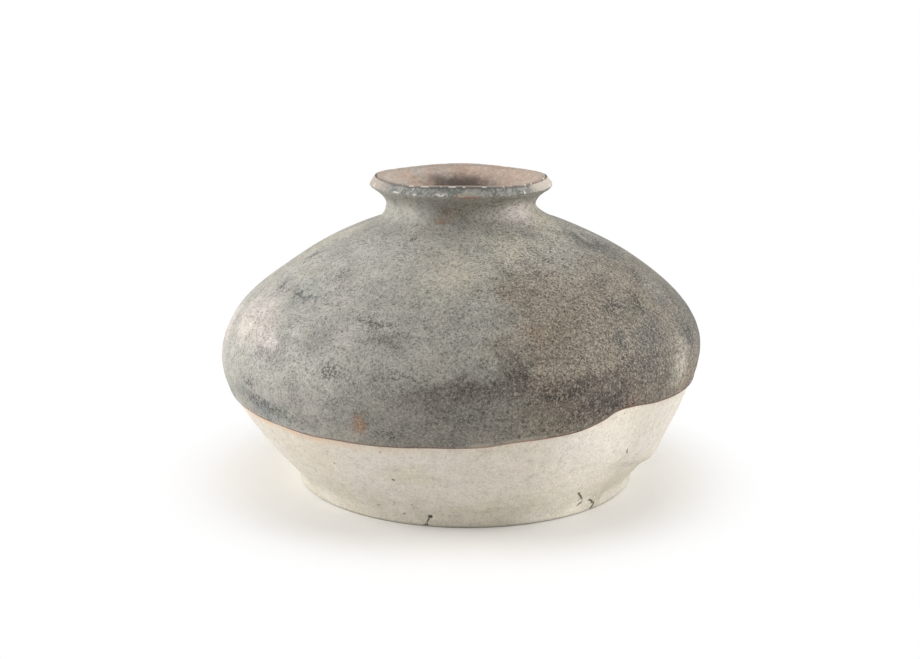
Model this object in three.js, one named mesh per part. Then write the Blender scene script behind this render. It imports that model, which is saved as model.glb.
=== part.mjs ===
// A squat stoneware jar with a dished mouth, thrown in three sections that are luted together with slip.
// Millimetres, +Z up. The origin is on the floor plane, under the middle of the belly.
// The jar is warped as a kiln leaves it: the belly sags to one side, the neck is set off centre and the
// lower wall has slumped into a fold above the foot. The glaze is a coat of its own, with a wavy lower edge.
import * as THREE from "three";

const { clamp, degToRad, euclideanModulo, lerp, radToDeg, smoothstep } = THREE.MathUtils;

// Foot and belly
const FOOT_RADIUS = 64.6;
const FOOT_BAND_HEIGHT = 4.6;
const FOOT_CHAMFER = 1;
const STANDING_RING_WIDTH = 9;
const BASE_HOLLOW = 1.6;
const BELLY_RADIUS = 90;
const BELLY_HEIGHT = 52.1;

// Shoulder, neck and mouth. The drops and heights of the neck are measured from the top of the lip.
const OVERALL_HEIGHT = 116.6;
const NECK_HEIGHT = 18.6;
const NECK_ROOT_RADIUS = 35.4;
const WAIST_DROP = 11.2;
const WAIST_RADIUS = 27.4;
const LIP_BEVEL_HEIGHT = 3.6;
const MOUTH_RADIUS = 33.4;
const LIP_RADIUS = 31.6;
const LIP_THICKNESS = 2.2;
const LIP_OUTER_ROUNDING = 0.7;
const LIP_INNER_ROUNDING = 0.5;
const LIP_CORNER = degToRad(60);

// Directions that the outer and inner lines take, as slopes from the level
const FOOT_FLARE = degToRad(48.4);
const NECK_ROOT_SLOPE = degToRad(19);
const MOUTH_FLARE = degToRad(29.2);
const DISH_SLOPE = degToRad(48.5);
const FLOOR_SLOPE = degToRad(5.7);

// How fully each curve swings out at its two ends, as shares of the distance between them
const LOWER_WALL_FULLNESS = [0.335, 0.281];
const SHOULDER_FULLNESS = [0.27, 0.275];
const NECK_FULLNESS = [0.6, 0.1];
const MOUTH_FULLNESS = [0.34, 0.3];
const DISH_FULLNESS = [0.362, 0.349];
const NECK_INSIDE_FULLNESS = [0.31, 0.41];
const SHOULDER_INSIDE_FULLNESS = [0.257, 0.257];
const LOWER_INSIDE_FULLNESS = [0.246, 0.38];

// Walls
const FLOOR_THICKNESS = 8;
const FLOOR_ROUNDING = 14.6;
const BODY_WALL = 6;
const SHOULDER_WALL = 5.5;
const NECK_WALL = 4.5;
const THROAT_LENGTH = 3.5;
const MOUTH_UNDERCUT = point(0.5, 0.8);
const THROWING_RIDGE = 0.45;
const THROWING_PITCH = 12;

// Joints between the thrown sections
const SEAM_GAP = 0.3;
const BELLY_SCARF_DROP = 3.5;
const COIL_WIDTH = 9;
const COIL_HEIGHT = 2.4;
const COIL_SHOULDERS = 0.3;

// Glaze
const GLAZE_GAP = 0.35;
const GLAZE_THICKNESS = 0.65;
const GLAZE_EDGE_THICKNESS = 1.1;
const GLAZE_EDGE_ROLL = 1.2;
const GLAZE_EDGE_TUCK = 0.2;
const GLAZE_EDGE_TAPER = 4;
const MOUTH_GLAZE_THICKNESS = 0.5;
const GLAZE_SLIDES = [0, 0.25, 0.5, 0.75];
const BARE_LIP = 1;
// How far the glaze's lower edge lies under the belly's height, by the angle in degrees anticlockwise from +X
const GLAZE_LINE = [
  [-180, 15.9],
  [-155, 14.9],
  [-130, 15.5],
  [-115, 15.0],
  [-100, 14.2],
  [-76, 13.2],
  [-66, 11.5],
  [-59.5, 8.7],
  [-53, 5.7],
  [-40, 6.5],
  [-20, 8.1],
  [20, 10.1],
  [70, 11.6],
  [120, 14.1],
  [180, 15.9],
];

// Warping
const FOOT_OFFSET = 1.8;
const BELLY_SAG = 2.5;
const BELLY_SAG_HEIGHT = 41;
const BELLY_SAG_SPREAD = 19;
const NECK_OFFSET = -2.3;
const OVALITY = 0.004;
const OVAL_ANGLE = degToRad(25);
const FOLD_DEPTH = 1.85;
const FOLD_ANGLE = degToRad(-17);
const FOLD_SPREAD = degToRad(26);
const FOLD_CREASE_HEIGHT = 13.1;
const FOLD_CREASE_FALL = 18.9;
const FOLD_CREASE_LOWEST = 6.5;
const FOLD_SWELL_ABOVE = 7.7;
const FOLD_SWELL_BELOW = 2;
const LIP_WAVE = 0.3;
const LIP_WAVES = 3;

// Facets
const SEGMENTS = 48;
const LOWER_STEPS = 10;
const SHOULDER_STEPS = 9;
const NECK_STEPS = 5;
const MOUTH_STEPS = 4;
const INNER_STEPS = 12;
const HOLLOW_SHARES = [0, 0.5, 1];

function point(radius, height) {
  return new THREE.Vector2(radius, height);
}

function heading(slope) {
  return point(Math.cos(slope), Math.sin(slope));
}

function bell(x, spread) {
  return Math.exp(-((x / spread) ** 2));
}

// A curve that leaves its first point and reaches its last one in the given directions
function sweep(from, leaving, to, arriving, [outShare, inShare], steps) {
  const reach = from.distanceTo(to);
  const out = from.clone().addScaledVector(leaving, reach * outShare);
  const back = to.clone().addScaledVector(arriving, -reach * inShare);
  return new THREE.CubicBezierCurve(from, out, back, to).getPoints(steps);
}

// A line moved sideways by a distance, mitred at its corners. The side is to the right of its direction.
function offset(line, distance) {
  const normals = line.slice(1).map((p, i) => {
    const along = p.clone().sub(line[i]).normalize();
    return point(along.y, -along.x);
  });
  return line.map((p, i) => {
    const before = normals[Math.max(0, i - 1)];
    const after = normals[Math.min(normals.length - 1, i)];
    const mitre = before.clone().add(after).normalize();
    return p.clone().addScaledVector(mitre, distance / mitre.dot(after));
  });
}

// The point at a height on a line that rises all the way
function atHeight(line, height) {
  const i = Math.max(1, line.findIndex((p) => p.y >= height));
  const share = (height - line[i - 1].y) / (line[i].y - line[i - 1].y);
  return line[i - 1].clone().lerp(line[i], share);
}

// The distance that a line has travelled at each of its points
function travelled(line) {
  let total = 0;
  return line.map((p, i) => (total += i ? p.distanceTo(line[i - 1]) : 0));
}

// The point at a distance along a line
function atDistance(line, distance) {
  const distances = travelled(line);
  const i = clamp(distances.findIndex((d) => d >= distance), 1, line.length - 1);
  const share = (distance - distances[i - 1]) / (distances[i] - distances[i - 1]);
  return line[i - 1].clone().lerp(line[i], share);
}

// The ridges that fingers leave in a wall, raised to the left of the line's direction
function throwingRidges(line) {
  const distances = travelled(line);
  const moved = offset(line, -THROWING_RIDGE);
  return line.map((p, i) => {
    const share = 0.5 - 0.5 * Math.cos((2 * Math.PI * distances[i]) / THROWING_PITCH);
    return p.clone().lerp(moved[i], i === 0 || i === line.length - 1 ? 0 : share);
  });
}

// The clay's outer lines, from the foot up
const up = point(0, 1);
const down = point(0, -1);
const rootDirection = heading(Math.PI - NECK_ROOT_SLOPE);
const neckRoot = point(NECK_ROOT_RADIUS, OVERALL_HEIGHT - NECK_HEIGHT);
const bellyEdge = point(BELLY_RADIUS, BELLY_HEIGHT);
const footTop = point(FOOT_RADIUS, FOOT_BAND_HEIGHT);
const waist = point(WAIST_RADIUS, OVERALL_HEIGHT - WAIST_DROP);
const mouthEdge = point(MOUTH_RADIUS, OVERALL_HEIGHT - LIP_BEVEL_HEIGHT);
const bevelTop = point(LIP_RADIUS, OVERALL_HEIGHT - LIP_OUTER_ROUNDING);
const footBand = [
  point(FOOT_RADIUS - FOOT_CHAMFER, 0),
  point(FOOT_RADIUS, FOOT_CHAMFER),
];
const lowerOuter = sweep(
  footTop, heading(FOOT_FLARE), bellyEdge, up, LOWER_WALL_FULLNESS, LOWER_STEPS,
);
const shoulderOuter = sweep(
  bellyEdge, up, neckRoot, rootDirection, SHOULDER_FULLNESS, SHOULDER_STEPS,
);
const neckOuter = [
  ...sweep(neckRoot, rootDirection, waist, up, NECK_FULLNESS, NECK_STEPS),
  ...sweep(
    waist, up, mouthEdge.clone().sub(MOUTH_UNDERCUT), heading(MOUTH_FLARE), MOUTH_FULLNESS, MOUTH_STEPS,
  ).slice(1),
  mouthEdge,
  bevelTop,
];

// The inner lines, from the lip down to the floor
const throatTop = point(WAIST_RADIUS - NECK_WALL, waist.y);
const throatEnd = point(throatTop.x, throatTop.y - THROAT_LENGTH);
const lipInner = point(LIP_RADIUS - LIP_THICKNESS, OVERALL_HEIGHT - LIP_INNER_ROUNDING);
const dish = sweep(
  lipInner, heading(Math.PI + DISH_SLOPE), throatTop, down, DISH_FULLNESS, NECK_STEPS,
);
const inwardAtRoot = point(-rootDirection.y, rootDirection.x);
const neckSeamInner = neckRoot.clone().addScaledVector(inwardAtRoot, SHOULDER_WALL);
const neckInner = sweep(
  throatEnd,
  down,
  neckSeamInner.clone().addScaledVector(rootDirection, SEAM_GAP),
  rootDirection.clone().negate(),
  NECK_INSIDE_FULLNESS,
  MOUTH_STEPS,
);
const bellySeamInner = bellyEdge.clone().add(point(-BODY_WALL, -BELLY_SCARF_DROP));
const shoulderInner = sweep(
  neckSeamInner,
  rootDirection.clone().negate(),
  bellySeamInner.clone().addScaledVector(up, SEAM_GAP),
  down,
  SHOULDER_INSIDE_FULLNESS,
  INNER_STEPS,
);
const lowerInner = sweep(
  bellySeamInner,
  down,
  point(FOOT_RADIUS - FLOOR_ROUNDING, FLOOR_THICKNESS),
  heading(Math.PI + FLOOR_SLOPE),
  LOWER_INSIDE_FULLNESS,
  INNER_STEPS,
);
const ringInner = FOOT_RADIUS - STANDING_RING_WIDTH - FOOT_CHAMFER;

// How far the slumped fold pushes the wall out. It swells gently above its crease and drops in below it,
// and the crease runs down as it goes round.
function foldAt(radius, height, angle) {
  const turn = Math.atan2(Math.sin(angle - FOLD_ANGLE), Math.cos(angle - FOLD_ANGLE));
  const crease = Math.max(FOLD_CREASE_LOWEST, FOLD_CREASE_HEIGHT - FOLD_CREASE_FALL * turn);
  const above = height - crease;
  const swell = bell(above, above > 0 ? FOLD_SWELL_ABOVE : FOLD_SWELL_BELOW);
  const inWall = smoothstep(radius, ringInner - STANDING_RING_WIDTH, ringInner);
  return FOLD_DEPTH * bell(turn, FOLD_SPREAD) * swell * inWall;
}

// How the kiln moved a point of the wall: x, y and z of the fired jar
function warp(radius, height, angle) {
  const oval = 1 + OVALITY * Math.cos(2 * (angle - OVAL_ANGLE));
  const r = radius * oval + foldAt(radius, height, angle);
  const sag = BELLY_SAG * bell(height - BELLY_SAG_HEIGHT, BELLY_SAG_SPREAD);
  const lean = FOOT_OFFSET - sag + NECK_OFFSET * smoothstep(height, neckRoot.y, waist.y);
  const lipShare = smoothstep(height, mouthEdge.y, OVERALL_HEIGHT);
  const lipWave = LIP_WAVE * lipShare * (Math.sin(LIP_WAVES * angle) - 1);
  return [r * Math.cos(angle) + lean, r * Math.sin(angle), height + lipWave];
}

// A turned and warped piece. profileAt gives the closed outline in the wall's plane at an angle, always
// with as many points, anticlockwise with the radius to the right and the height up.
function turned(name, material, profileAt) {
  const geometry = new THREE.LatheGeometry(profileAt(0), SEGMENTS);
  const position = geometry.getAttribute("position");
  const points = position.count / (SEGMENTS + 1);
  for (let s = 0; s <= SEGMENTS; s++) {
    const angle = (2 * Math.PI * (s % SEGMENTS)) / SEGMENTS;
    profileAt(angle).forEach((p, j) => {
      position.setXYZ(s * points + j, ...warp(p.x, p.y, angle));
    });
  }
  geometry.computeVertexNormals();
  const mesh = new THREE.Mesh(geometry, material);
  mesh.name = name;
  return mesh;
}

function closed(...lines) {
  const outline = lines.flat();
  return [...outline, outline[0]];
}

// Foot, floor and lower wall, thrown as one and bevelled at the rim to take the shoulder
function lowerBody(material) {
  const underside = HOLLOW_SHARES.map((share) =>
    point(ringInner * share, BASE_HOLLOW * (1 - share ** 2)),
  );
  const outline = [...underside, ...footBand, ...lowerOuter, ...throwingRidges(lowerInner)];
  outline.push(point(0, FLOOR_THICKNESS));
  return turned("lower_body", material, () => outline);
}

// The closed-in shoulder, with a bevelled lower rim that sits inside the rim of the lower body
function shoulder(material) {
  const lowRim = bellyEdge.clone().addScaledVector(up, SEAM_GAP);
  const outline = closed(lowRim, shoulderOuter.slice(1), throwingRidges(shoulderInner));
  return turned("shoulder", material, () => outline);
}

// The neck with its dished mouth and bevelled lip
function neckAndMouth(material) {
  const foot = neckRoot.clone().addScaledVector(rootDirection, SEAM_GAP);
  const roundingCentre = bevelTop.clone().sub(point(LIP_OUTER_ROUNDING, 0));
  const lipCorner = roundingCentre.addScaledVector(heading(LIP_CORNER), LIP_OUTER_ROUNDING);
  const lipTop = point(LIP_RADIUS - LIP_THICKNESS / 2, OVERALL_HEIGHT);
  const outline = closed(foot, neckOuter.slice(1), lipCorner, lipTop, dish, neckInner);
  return turned("neck_and_mouth", material, () => outline);
}

// A coil of clay pressed into the corner behind a seam, half on each of the two walls that meet there.
// Both walls are given from the top down. Its back clears their throwing ridges.
function seamCoil(name, material, upperWall, lowerWall) {
  const wall = [...upperWall, ...lowerWall];
  const corner = travelled(wall)[upperWall.length];
  const seat = [-0.5, -COIL_SHOULDERS, 0, COIL_SHOULDERS, 0.5].map((share) =>
    atDistance(wall, corner + share * COIL_WIDTH),
  );
  const back = offset(seat, SEAM_GAP + THROWING_RIDGE);
  const crown = offset(seat, SEAM_GAP + THROWING_RIDGE + COIL_HEIGHT);
  const shoulderShare = 1 - (2 * COIL_SHOULDERS) ** 2;
  const face = [
    back[1].clone().lerp(crown[1], shoulderShare),
    crown[2],
    back[3].clone().lerp(crown[3], shoulderShare),
  ];
  const outline = closed(face, [back[4], back[2], back[0]]);
  return turned(name, material, () => outline);
}

// How far the glaze's lower edge lies under the belly's height: a smooth closed curve through GLAZE_LINE
const glazeDrop = new THREE.CubicInterpolant(
  GLAZE_LINE.map(([degrees]) => degrees),
  GLAZE_LINE.map(([, drop]) => drop),
  1,
);
glazeDrop.settings = {
  endingStart: THREE.WrapAroundEnding,
  endingEnd: THREE.WrapAroundEnding,
};

function glazeLine(angle) {
  const degrees = euclideanModulo(radToDeg(angle) + 180, 360) - 180;
  return BELLY_HEIGHT - glazeDrop.evaluate(degrees)[0];
}

// The glaze over the belly, shoulder and neck. Its upper part follows the clay's own stations, and its
// lowest ones slide up and down with the edge, where the glaze has run into a roll.
function glazeCoat(material) {
  const clay = [...lowerOuter, ...shoulderOuter.slice(1), ...neckOuter.slice(1)];
  const end = clay.length - 1;
  const bevel = clay[end].distanceTo(clay[end - 1]);
  clay[end] = clay[end].clone().lerp(clay[end - 1], BARE_LIP / bevel);
  const inner = offset(clay, GLAZE_GAP);
  const outer = offset(clay, GLAZE_GAP + GLAZE_THICKNESS);
  const thick = offset(clay, GLAZE_GAP + GLAZE_EDGE_THICKNESS);
  const lineTop = BELLY_HEIGHT - Math.min(...GLAZE_LINE.map(([, drop]) => drop));
  const first = clay.findIndex((p) => p.y > lineTop + GLAZE_EDGE_TAPER + GLAZE_EDGE_ROLL);
  return turned("glaze_coat", material, (angle) => {
    const edge = glazeLine(angle);
    const between = (line, share) => atHeight(line, lerp(edge + GLAZE_EDGE_TAPER, clay[first].y, share));
    const outside = [
      atHeight(thick, edge + GLAZE_EDGE_TUCK),
      atHeight(thick, edge + GLAZE_EDGE_ROLL),
      ...GLAZE_SLIDES.map((share) => between(outer, share)),
      ...outer.slice(first),
    ];
    const inside = [
      atHeight(inner, edge),
      ...GLAZE_SLIDES.map((share) => between(inner, share)),
      ...inner.slice(first),
    ];
    return closed(outside, inside.reverse());
  });
}

// The thin glaze inside the dished mouth, down to the throat
function mouthGlaze(material) {
  const lining = [...dish, throatEnd];
  lining[0] = lining[0].clone().lerp(lining[1], BARE_LIP / lining[0].distanceTo(lining[1]));
  const outline = closed(
    offset(lining, GLAZE_GAP + MOUTH_GLAZE_THICKNESS),
    offset(lining, GLAZE_GAP).reverse(),
  );
  return turned("mouth_glaze", material, () => outline);
}

const stoneware = new THREE.MeshStandardMaterial({ color: 0xd6ccb8, roughness: 0.92, metalness: 0 });
const seamClay = new THREE.MeshStandardMaterial({ color: 0xc9bca6, roughness: 0.95, metalness: 0 });
const ashGlaze = new THREE.MeshStandardMaterial({ color: 0x8b8780, roughness: 0.68, metalness: 0 });
const mouthWash = new THREE.MeshStandardMaterial({ color: 0xc4a691, roughness: 0.7, metalness: 0 });

const jar = new THREE.Group();
jar.add(
  lowerBody(stoneware),
  shoulder(stoneware),
  neckAndMouth(stoneware),
  seamCoil("belly_seam_coil", seamClay, shoulderInner, lowerInner),
  seamCoil("neck_seam_coil", seamClay, neckInner, shoulderInner),
  glazeCoat(ashGlaze),
  mouthGlaze(mouthWash),
);

export default jar;
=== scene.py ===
import math

import bmesh
import bpy
import numpy as np
from mathutils import Matrix, Vector, noise
from mathutils.geometry import interpolate_bezier


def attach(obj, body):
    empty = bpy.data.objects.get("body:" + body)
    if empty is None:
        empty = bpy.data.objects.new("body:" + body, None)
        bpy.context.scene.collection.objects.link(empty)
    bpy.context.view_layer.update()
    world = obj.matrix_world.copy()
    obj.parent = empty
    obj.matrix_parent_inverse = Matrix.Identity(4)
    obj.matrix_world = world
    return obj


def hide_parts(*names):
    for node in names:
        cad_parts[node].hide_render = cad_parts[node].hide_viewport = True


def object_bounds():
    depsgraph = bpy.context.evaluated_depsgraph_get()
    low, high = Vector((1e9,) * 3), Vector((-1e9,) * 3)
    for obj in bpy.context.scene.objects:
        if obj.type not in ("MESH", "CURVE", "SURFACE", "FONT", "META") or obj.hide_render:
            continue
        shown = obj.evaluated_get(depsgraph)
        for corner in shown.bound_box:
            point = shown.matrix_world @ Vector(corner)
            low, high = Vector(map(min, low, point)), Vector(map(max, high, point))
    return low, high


bl_info = {
    "name": "Stoneware Jar",
    "version": (1, 0, 0),
    "blender": (4, 5, 0),
    "location": "3D View > Sidebar > Jar",
    "description": "Dresses a squat stoneware jar in clay and glaze and sets it on a studio stage",
    "category": "Add Mesh",
}

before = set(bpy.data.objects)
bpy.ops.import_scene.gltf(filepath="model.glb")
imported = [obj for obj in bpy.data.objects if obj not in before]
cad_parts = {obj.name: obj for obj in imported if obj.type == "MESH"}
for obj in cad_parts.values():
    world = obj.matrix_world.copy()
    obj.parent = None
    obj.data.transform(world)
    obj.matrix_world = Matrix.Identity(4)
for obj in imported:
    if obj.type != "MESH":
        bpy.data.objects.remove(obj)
CAD_LOW, CAD_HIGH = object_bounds()

MM = 0.001
WHITE = (1.0, 1.0, 1.0, 1.0)
# Columns of faces round the outside, round the lining of the mouth and round the hidden shoulder wall
COLUMNS = 512
LINING_COLUMNS = 256
HIDDEN_COLUMNS = 128
# An outline is spun through one wedge, and the wedge is then repeated round the jar
WEDGES = 8
SHARP_DEGREES = 50
BODY = "root"
# Millimetres: the radius by which angles become distances round the skin
SKIN_RADIUS = 80.0
# Millimetres round the skin: a place where every mask that tells left from right has reached its left value,
# and the stretch behind the right side where they change from their right values to their left ones
FAR_LEFT = 150.0
TURN_BACK = (130.0, 240.0)
# The rays that see the white background in place of the lit floor and sky
SHOWN_RAYS = ("Is Camera Ray", "Is Glossy Ray", "Is Transmission Ray")


# Settings
def length(name, description, millimetres):
    return bpy.props.FloatProperty(
        name=name, description=description, default=millimetres * MM, subtype="DISTANCE", unit="LENGTH"
    )


def angle(name, description, degrees):
    return bpy.props.FloatProperty(
        name=name, description=description, default=math.radians(degrees), subtype="ANGLE"
    )


def colour(name, description, default):
    return bpy.props.FloatVectorProperty(
        name=name, description=description, default=default, size=3, min=0.0, max=1.0, subtype="COLOR"
    )


def share(name, description, default, high=1.0):
    return bpy.props.FloatProperty(name=name, description=description, default=default, min=0.0, max=high)


def power(name, description, watts):
    return bpy.props.FloatProperty(name=name, description=description, default=watts, min=0.0, unit="POWER")


class JarShape(bpy.types.PropertyGroup):
    """Sizes of the clay and of its glazes"""

    foot_radius: length("Foot radius", "Radius of the foot", 64.6)
    foot_band: length("Foot band", "Height of the upright band at the foot", 4.6)
    foot_chamfer: length("Foot chamfer", "Worn edge under the foot", 1)
    standing_ring: length("Standing ring", "Width of the ring that the jar stands on", 9)
    base_hollow: length("Base hollow", "Depth of the hollow under the base", 1.6)
    belly_radius: length("Belly radius", "Radius of the clay at its widest", 90)
    belly_height: length("Belly height", "Height of the widest point", 52.1)
    height: length("Height", "Height of the jar", CAD_HIGH.z / MM)
    neck_height: length("Neck height", "From the neck's root to the top of the lip", 18.6)
    root_radius: length("Neck root radius", "Radius where the neck leaves the shoulder", 35.4)
    waist_drop: length("Waist drop", "From the top of the lip down to the neck's narrowest point", 11.2)
    waist_radius: length("Waist radius", "Radius of the neck at its narrowest", 27.4)
    bevel_height: length("Bevel height", "Height of the lip's bevel", 3.6)
    mouth_radius: length("Mouth radius", "Radius of the lip's outer edge", 33.4)
    lip_radius: length("Lip radius", "Outer radius of the lip's top", 31.6)
    lip_width: length("Lip width", "Width of the lip's top", 2.2)
    floor: length("Floor", "Thickness of the floor", 8)
    floor_rounding: length("Floor rounding", "How far in from the foot the floor begins to rise", 14.6)
    body_wall: length("Body wall", "Thickness of the lower wall", 6)
    shoulder_wall: length("Shoulder wall", "Thickness of the shoulder", 5.5)
    neck_wall: length("Neck wall", "Thickness of the neck", 4.5)
    throat: length("Throat", "Length of the neck's straight throat", 3.5)
    seam: length("Seam", "Gap at the seams between the thrown sections", 0.3)
    scarf: length("Scarf", "How far the belly seam drops through the wall", 3.5)
    glaze_gap: length("Glaze gap", "Gap between the clay and the glaze's back", 0.25)
    glaze: length("Glaze", "Height of the glaze's face above the clay", 0.62)
    glaze_roll: length("Glaze roll", "Extra thickness where the glaze has run together at its edge", 0.15)
    mouth_glaze: length("Mouth glaze", "Thickness of the glaze in the mouth", 0.4)
    bare_lip: length("Bare lip", "Width of the worn lip that shows bare clay", 0.12)


class KilnWarp(bpy.types.PropertyGroup):
    """How the kiln bent the jar"""

    foot_offset: length("Foot offset", "How far the foot stands to the right", 1.8)
    sag: length("Sag", "How far the belly sags to the left", 2.5)
    sag_height: length("Sag height", "Height where the belly sags most", 41)
    sag_spread: length("Sag spread", "How far up and down the sag reaches", 19)
    neck_offset: length("Neck offset", "How far the neck stands to the left of the shoulder", 2.3)
    ovality: share("Ovality", "How far the jar is out of round", 0.004)
    oval_angle: angle("Oval angle", "Direction in which the jar is widest", 25)
    fold_depth: length("Fold depth", "How far the slumped fold stands out", 1.85)
    fold_angle: angle("Fold angle", "Direction of the fold", -17)
    fold_spread: angle("Fold spread", "How far round the fold reaches", 26)
    crease: length("Crease height", "Height of the fold's crease in the middle", 13.1)
    crease_fall: length("Crease fall", "How far the crease drops in a radian", 18.9)
    crease_lowest: length("Crease lowest", "The lowest that the crease comes", 6.5)
    swell_above: length("Swell above", "Reach of the fold above its crease", 7.7)
    swell_below: length("Swell below", "Reach of the fold below its crease", 2)
    foot_pinch: length("Foot pinch", "How far the left side of the foot is drawn in", 0.5)
    lip_wave: length("Lip wave", "How uneven the lip is", 0.3)
    dent: length("Shoulder dent", "Depth of the dent in the left of the shoulder", 0.7)
    dent_height: length("Dent height", "Height between the dent and the swelling under it", 74)
    dent_reach: length("Dent reach", "From the dent down to the swelling", 14)


class Relief(bpy.types.PropertyGroup):
    """Unevenness of the surfaces"""

    dent_size: length("Dent size", "Size of the broad unevenness left by throwing", 20)
    dent: length("Dent depth", "Depth of the broad unevenness", 0.16)
    ripple: length("Ripple depth", "Depth of the throwing lines", 0.07)
    pit: length("Pit depth", "Depth of the chips and pits in the foot", 0.7)
    chip: length("Chip depth", "Depth of the chips in the lip", 0.5)
    edge: length("Edge wear", "How uneven the glaze is on the mouth's outer edge", 0.3)


class ClayLook(bpy.types.PropertyGroup):
    """Colours of the bare clay"""

    cream: colour("Cream", "The clay's main colour", (0.673, 0.633, 0.563))
    warm: colour("Warm", "Clay that the flame has warmed", (0.68, 0.61, 0.51))
    olive: colour("Olive", "Yellowish clay near the foot", (0.55, 0.52, 0.39))
    pale: colour("Pale", "Pale grains", (0.78, 0.75, 0.69))
    fresh: colour("Fresh", "Freshly chipped clay", (0.62, 0.595, 0.55))
    # Also paints the contact shade along the bottom of the foot
    dirt: colour("Dirt", "Dark grains and rubbed places", (0.34, 0.32, 0.26))
    iron: colour("Iron", "Iron specks, pits and cracks", (0.055, 0.047, 0.035))
    flash: colour("Flash", "Peach flashing under the glaze line", (0.72, 0.47, 0.3))
    lip: colour("Lip", "Worn clay on the lip", (0.43, 0.33, 0.265))
    lip_pale: colour("Pale lip", "Greyer clay on the lip", (0.4, 0.355, 0.31))
    lip_line: colour("Lip line", "Brown line along the lip's outer edge", (0.15, 0.118, 0.105))


class GlazeLook(bpy.types.PropertyGroup):
    """Colours of the glaze"""

    ash: colour("Ash", "The glaze's main grey", (0.286, 0.271, 0.235))
    dove: colour("Dove", "Paler grey of the left side", (0.345, 0.332, 0.298))
    # Also paints part of the sheen on the right of the neck
    pink: colour("Pink", "Chalky pink patch", (0.53, 0.475, 0.435))
    blue: colour("Blue", "Bluish grey", (0.2, 0.212, 0.205))
    # Also paints the sheen on the right of the neck
    cream: colour("Cream", "Thin, creamy glaze", (0.4, 0.37, 0.3))
    buff: colour("Buff", "Buff ends of the lip's bevel", (0.53, 0.465, 0.4))
    brown: colour("Brown", "Brown clouds", (0.19, 0.155, 0.112))
    umber: colour("Umber", "Dark brown clouds", (0.088, 0.072, 0.06))
    soot: colour("Soot", "Dark clouds and specks", (0.055, 0.057, 0.056))
    rust: colour("Rust", "Red-brown edge and spots", (0.16, 0.075, 0.05))
    ochre: colour("Ochre", "Orange-brown spots", (0.27, 0.165, 0.1))
    ember: colour("Ember", "Orange edge of the glaze at the front", (0.34, 0.17, 0.11))
    chip: colour("Chip", "Chipped places where the clay shows", (0.6, 0.575, 0.535))
    wash: colour("Mouth wash", "Pinkish buff glaze in the mouth", (0.465, 0.35, 0.28))
    wash_pale: colour("Pale wash", "Worn wash on the upper part of the mouth", (0.4, 0.352, 0.305))
    # The colour of the dark patch by the throat, partly staining and partly painted shade
    stain_and_shade: colour("Stain", "Dark stain by the throat", (0.1, 0.078, 0.07))


class StageLook(bpy.types.PropertyGroup):
    """Floor, light and camera"""

    floor: colour("Floor", "Colour of the floor", (0.87, 0.86, 0.845))
    fade: length("Fade", "How wide the fade to white is", 42)
    paper: length("Paper", "How far out the floor begins to fade to white", 78)
    left: power("Left light", "Power of the lamp on the left", 9.1)
    right: power("Right light", "Power of the lamp on the right", 8.3)
    top: power("Top light", "Power of the lamp overhead", 3.85)
    sky: share("Sky", "Strength of the light from all round", 0.44, 10.0)
    lens: bpy.props.FloatProperty(name="Lens", description="Focal length in millimetres", default=60.8)
    aside: length("Camera aside", "How far the camera stands to the right", -0.5)
    distance: length("Distance", "From the jar's axis to the camera, along the floor", 578.8)
    eye: length("Camera height", "Height of the camera above the floor", 199.5)
    pitch: angle("Pitch", "How far the camera looks down", 13.89)
    roll: angle("Roll", "How far the camera is tilted", 0.4)


# The jar's outline, as lists of (radius, height) in metres
def heading(degrees):
    return Vector((math.cos(math.radians(degrees)), math.sin(math.radians(degrees))))


UP = heading(90)
DOWN = heading(-90)
FOOT_LEAN = heading(76)
INTO_NECK = heading(161)
OUT_OF_NECK = heading(-19)
# Rows of the lower wall that the soft foot takes the place of
SOFT_ROWS = 7
# Metres, inwards and down from the mouth's outer edge to the place where the curve under it ends
UNDERCUT = Vector((0.5, 0.8)) * MM
LIP_ROUNDING = 0.7 * MM
# Metres from the lip's inner corner before it was worn: the last point of its top, and the drop to the dish
INNER_WEAR = Vector((0.45, -0.1)) * MM
DISH_DROP = 0.5 * MM


def sweep(start, leaving, end, arriving, fullness, steps):
    """A curve that leaves its first point and reaches its last one in the given directions. Its fullness is
    the length of its two handles, as shares of the distance between its ends."""
    reach = (end - start).length
    out = start + leaving * (reach * fullness[0])
    back = end - arriving * (reach * fullness[1])
    curve = interpolate_bezier(*(Vector((*p, 0)) for p in (start, out, back, end)), steps + 1)
    return [Vector((p.x, p.y)) for p in curve]


def offset(line, distance):
    """The line moved to the right of its direction, mitred at its corners."""
    normals = []
    for a, b in zip(line, line[1:]):
        along = (b - a).normalized()
        normals.append(Vector((along.y, -along.x)))
    moved = []
    for i, p in enumerate(line):
        before, after = normals[max(0, i - 1)], normals[min(len(normals) - 1, i)]
        mitre = (before + after).normalized()
        moved.append(p + mitre * (distance / mitre.dot(after)))
    return moved


def belly_edge(s):
    return Vector((s.belly_radius, s.belly_height))


def neck_root(s):
    return Vector((s.root_radius, s.height - s.neck_height))


def waist(s):
    return Vector((s.waist_radius, s.height - s.waist_drop))


def mouth_edge(s):
    return Vector((s.mouth_radius, s.height - s.bevel_height))


def lower_outer(s, steps):
    foot = Vector((s.foot_radius, s.foot_band))
    return sweep(foot, heading(48.4), belly_edge(s), UP, (0.335, 0.281), steps)


def foot_outer(s):
    """The foot's band, which leans in a little at its lower edge and runs softly into the wall above it."""
    bottom = Vector((s.foot_radius - s.foot_chamfer, 0))
    edge = Vector((s.foot_radius - s.foot_chamfer / 2, s.foot_chamfer / 2))
    wall = lower_outer(s, steps=90)[SOFT_ROWS:]
    leaving = (wall[1] - wall[0]).normalized()
    return [bottom] + sweep(edge, FOOT_LEAN, wall[0], leaving, fullness=(0.5, 0.4), steps=14) + wall[1:]


def shoulder_outer(s, steps):
    return sweep(belly_edge(s), UP, neck_root(s), INTO_NECK, (0.27, 0.275), steps)


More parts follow.
